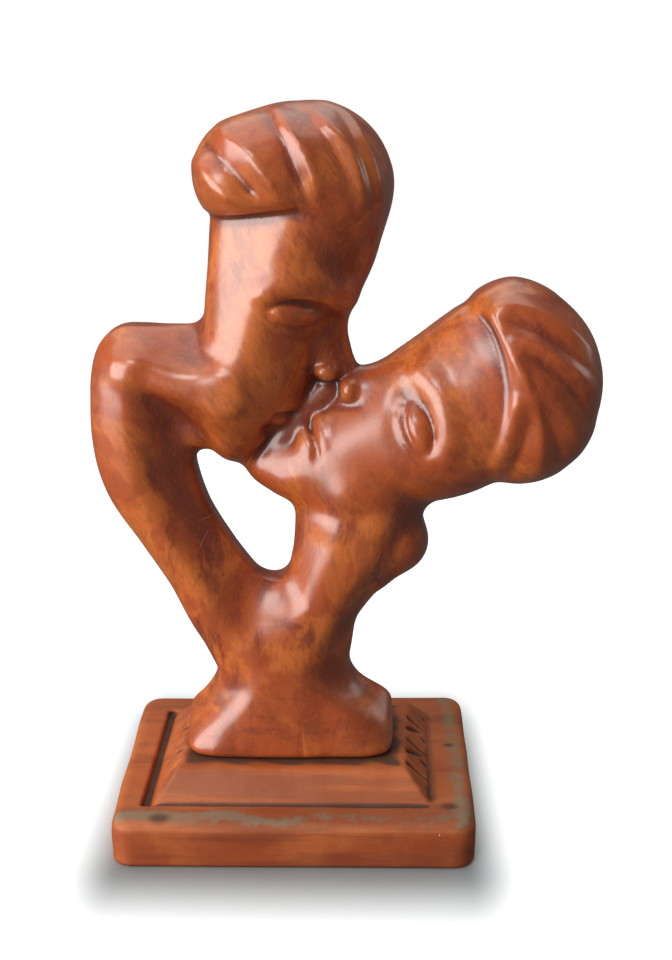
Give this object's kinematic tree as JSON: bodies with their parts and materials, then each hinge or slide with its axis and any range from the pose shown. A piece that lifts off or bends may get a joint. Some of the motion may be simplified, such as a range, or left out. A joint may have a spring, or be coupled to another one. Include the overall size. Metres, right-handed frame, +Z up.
{
  "type": "kissing couple clay sculpture",
  "caption": "Polished clay sculpture of two heads kissing over a tapering waist, standing on a stepped rectangular plinth.",
  "frame": {"origin": "middle of the plinth's flat underside, where the sculpture stands", "axes": "+Z up, +X towards the tilted head (the viewer's right), +Y away from the viewer"},
  "size_m": [0.2153, 0.1266, 0.3104],
  "materials": {
    "polished_clay": "stained and varnished clay, glossy",
    "matt_clay": "brushed, lightly varnished clay with dust"
  },
  "bodies": {
    "root": {"couple": "polished_clay", "plinth": "matt_clay"}
  },
  "joints": []
}
